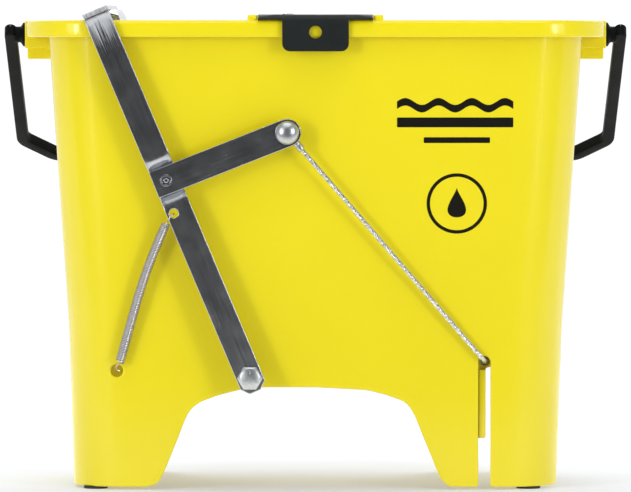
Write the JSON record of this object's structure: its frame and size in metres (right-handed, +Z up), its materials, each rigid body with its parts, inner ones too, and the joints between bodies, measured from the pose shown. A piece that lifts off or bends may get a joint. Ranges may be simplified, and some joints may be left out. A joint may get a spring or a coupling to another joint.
{
  "type": "mop bucket with wringer",
  "caption": "Moulded mop bucket with arched skirt, carrying bail and a foot-pedal press wringer worked through wire ropes, crank arms and return springs.",
  "frame": {"origin": "middle of the whole assembly's footprint, on the floor", "axes": "+Z up, +X along the bucket towards the pedal end, -Y towards the front wall"},
  "size_m": [0.5454, 0.3502, 0.4176],
  "materials": {
    "tub_plastic": "moulded yellow polyolefin, satin gloss",
    "foot_rubber": "moulded black rubber",
    "black_paint": "satin black powder coat on steel strap",
    "zinc_sheet": "zinc-plated pressed sheet",
    "zinc_fastener": "bright zinc plate",
    "flat_bar_steel": "plated flat bar, brushed along its length",
    "rope_steel": "galvanised stranded wire",
    "spring_steel": "plated spring wire",
    "bail_plastic": "moulded black plastic"
  },
  "bodies": {
    "bucket": {"tub": "tub_plastic", "foot_front_left": "foot_rubber", "foot_front_right": "foot_rubber", "foot_back_left": "foot_rubber", "foot_back_right": "foot_rubber", "bridge": "black_paint", "fixed_press_plate": "zinc_sheet", "bridge_rivet_front": "zinc_fastener", "bridge_rivet_back": "zinc_fastener", "pivot_bolt_front": "zinc_fastener", "pivot_bolt_back": "zinc_fastener", "pivot_nut_front": "zinc_fastener", "pivot_nut_back": "zinc_fastener", "pivot_bush_front": "zinc_fastener", "pivot_bush_back": "zinc_fastener", "return_spring_front": "spring_steel", "return_spring_back": "spring_steel"},
    "yoke": {"lever_front": "flat_bar_steel", "lever_back": "flat_bar_steel", "crank_arm_front": "flat_bar_steel", "crank_arm_back": "flat_bar_steel", "crank_rivet_front": "zinc_fastener", "crank_rivet_back": "zinc_fastener", "rope_bolt_front": "zinc_fastener", "rope_bolt_back": "zinc_fastener", "rope_nut_front": "zinc_fastener", "rope_nut_back": "zinc_fastener", "crossbar": "flat_bar_steel", "moving_press_plate": "zinc_sheet", "plate_rivet_front": "zinc_fastener", "plate_rivet_back": "zinc_fastener"},
    "rope_front": {"wire_rope_front": "rope_steel", "rope_eyelet_front": "zinc_fastener", "rope_stop_front": "zinc_fastener"},
    "rope_back": {"wire_rope_back": "rope_steel", "rope_eyelet_back": "zinc_fastener", "rope_stop_back": "zinc_fastener"},
    "pedal": {"pedal": "tub_plastic", "tread_pad": "foot_rubber"},
    "bail": {"bail": "bail_plastic", "bail_grip": "bail_plastic"}
  },
  "joints": [
    {"name": "yoke_swing", "type": "hinge", "parent": "bucket", "child": "yoke", "pos_m": [-0.0563, -0.0148, 0.0978], "axis": [0, 1, 0], "range_deg": [0, 12], "stiffness_Nm_per_rad": 14.5, "springref_deg": -11.46, "deforming": ["return_spring_front", "return_spring_back"]},
    {"name": "rope_hinge_front", "type": "hinge", "parent": "yoke", "child": "rope_front", "pos_m": [-0.02432, -0.0148, 0.30812], "axis": [0, 1, 0], "range_deg": [-0.8, 0.4]},
    {"name": "rope_hinge_back", "type": "hinge", "parent": "yoke", "child": "rope_back", "pos_m": [-0.02432, -0.0148, 0.30812], "axis": [0, 1, 0], "range_deg": [-0.8, 0.4]},
    {"name": "pedal_slide", "type": "slide", "parent": "bucket", "child": "pedal", "axis": [0, 0, -1], "range_m": [0, 0.042]},
    {"name": "bail_swing", "type": "hinge", "parent": "bucket", "child": "bail", "pos_m": [0, -0.0148, 0.392], "axis": [1, 0, 0], "range_deg": [0, 241]}
  ],
  "couplings": [
    {"joint": "rope_hinge_front", "follows": "yoke_swing", "ratio": -0.03},
    {"joint": "rope_hinge_back", "follows": "yoke_swing", "ratio": -0.03},
    {"joint": "pedal_slide", "follows": "yoke_swing", "m_per_rad": 0.1996}
  ]
}
